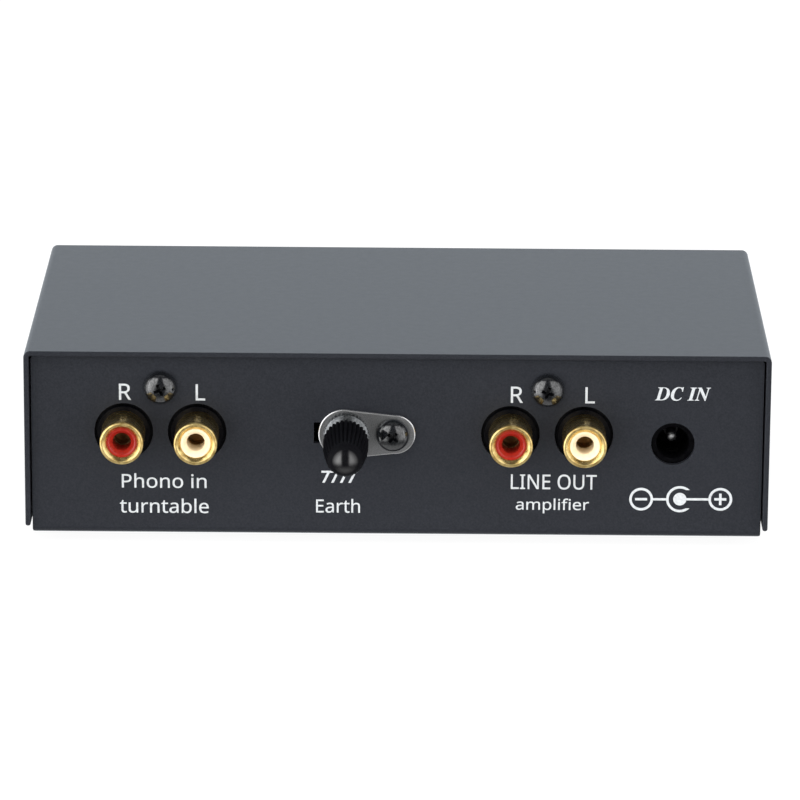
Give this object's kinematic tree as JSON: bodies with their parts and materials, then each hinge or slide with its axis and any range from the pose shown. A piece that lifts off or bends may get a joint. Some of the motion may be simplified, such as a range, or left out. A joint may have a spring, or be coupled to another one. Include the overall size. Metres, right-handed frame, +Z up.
{
  "type": "phono preamp",
  "caption": "Phono preamplifier in a folded steel case with phono input and output jacks, a ground terminal with a knurled knob and a barrel power inlet.",
  "frame": {"origin": "on the surface that the part rests on, under the middle of its bounding box, which takes in the ground knob", "axes": "+X along the case, to the right as seen by someone facing the connector panel; +Y from the connector panel to the panel with the light; +Z up"},
  "size_m": [0.1464, 0.0974, 0.0385],
  "materials": {
    "case_coat": "charcoal powder coat, satin, with a very fine texture",
    "black_steel": "black plated steel screws, glossy",
    "black_rubber": "matt",
    "board_resin": "green solder resist",
    "plated_steel": "zinc plated",
    "black_plastic": "moulded black, satin",
    "knob_plastic": "moulded black, polished",
    "gold_plate": "bright gold plating",
    "red_plastic": "moulded red",
    "white_plastic": "moulded white",
    "bright_nickel": "bright nickel plating",
    "strap_steel": "nickel plated strap, lightly pitted",
    "tinned_brass": "machined brass, thinly tinned",
    "light_resin": "tinted resin",
    "chip_resin": "black moulding compound",
    "can_sleeve": "shrink sleeve on an aluminium can",
    "film_resin": "dipped resin",
    "resistor_coat": "lacquer"
  },
  "bodies": {
    "case": {"cover": "case_coat", "tray": "case_coat", "cover_screws": "black_steel", "rubber_feet": "black_rubber", "circuit_board": "board_resin", "board_standoffs": "plated_steel", "board_screws": "plated_steel", "input_jack_housing": "black_plastic", "output_jack_housing": "black_plastic", "jack_screws": "black_steel", "input_right_sleeve": "gold_plate", "input_left_sleeve": "gold_plate", "output_right_sleeve": "gold_plate", "output_left_sleeve": "gold_plate", "input_right_insulator": "red_plastic", "input_left_insulator": "white_plastic", "output_right_insulator": "red_plastic", "output_left_insulator": "white_plastic", "input_right_contact": "gold_plate", "input_left_contact": "gold_plate", "output_right_contact": "gold_plate", "output_left_contact": "gold_plate", "inlet_body": "black_plastic", "inlet_pin": "bright_nickel", "inlet_spring": "bright_nickel", "ground_strap": "strap_steel", "ground_post": "bright_nickel", "ground_lug": "tinned_brass", "ground_nut": "plated_steel", "strap_screw": "black_steel", "strap_nut": "plated_steel", "power_light": "light_resin", "light_clip": "black_plastic", "amplifier_chips": "chip_resin", "coupling_capacitors": "can_sleeve", "supply_capacitors": "can_sleeve", "film_capacitors": "film_resin", "resistors": "resistor_coat", "filter_coil": "chip_resin", "regulator": "chip_resin", "polarity_diode": "chip_resin"},
    "knob_thread": {"knob_insert": "tinned_brass"},
    "knob_grip": {"knob_cap": "knob_plastic"}
  },
  "joints": [
    {"name": "ground_knob_travel", "type": "slide", "parent": "case", "child": "knob_thread", "axis": [0, -1, 0], "range_m": [-0.00245, 0.00298]},
    {"name": "ground_knob_turn", "type": "hinge", "parent": "knob_thread", "child": "knob_grip", "pos_m": [-0.00965, -0.04195, 0.02245], "axis": [0, -1, 0], "range_deg": [-1261, 1531]}
  ],
  "couplings": [
    {"joint": "ground_knob_turn", "follows": "ground_knob_travel", "rad_per_m": 8976}
  ]
}
